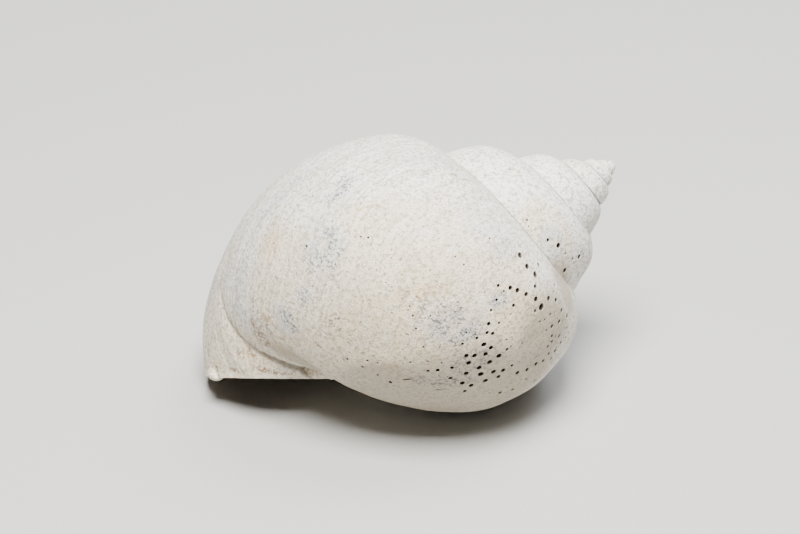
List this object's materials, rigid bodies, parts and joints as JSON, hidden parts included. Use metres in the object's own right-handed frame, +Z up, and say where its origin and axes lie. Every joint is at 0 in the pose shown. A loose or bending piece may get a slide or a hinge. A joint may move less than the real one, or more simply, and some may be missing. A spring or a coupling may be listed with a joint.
{
  "type": "fossil moon snail shell",
  "caption": "Fossil moon snail shell, globular with a short pointed spire, pitted and chalky, lying on its mouth.",
  "frame": {"origin": "on the surface it lies on, under the middle of its box", "axes": "+X along the shell towards the side its spire points to, +Y away from the viewer, +Z up"},
  "size_m": [0.0512, 0.0404, 0.0338],
  "materials": {
    "fossil_shell": "chalky off-white shell, satin to matte, with fine growth lines, grey stipple, small dark pits and brown stains near the base"
  },
  "bodies": {
    "root": {"shell": "fossil_shell"}
  },
  "joints": []
}
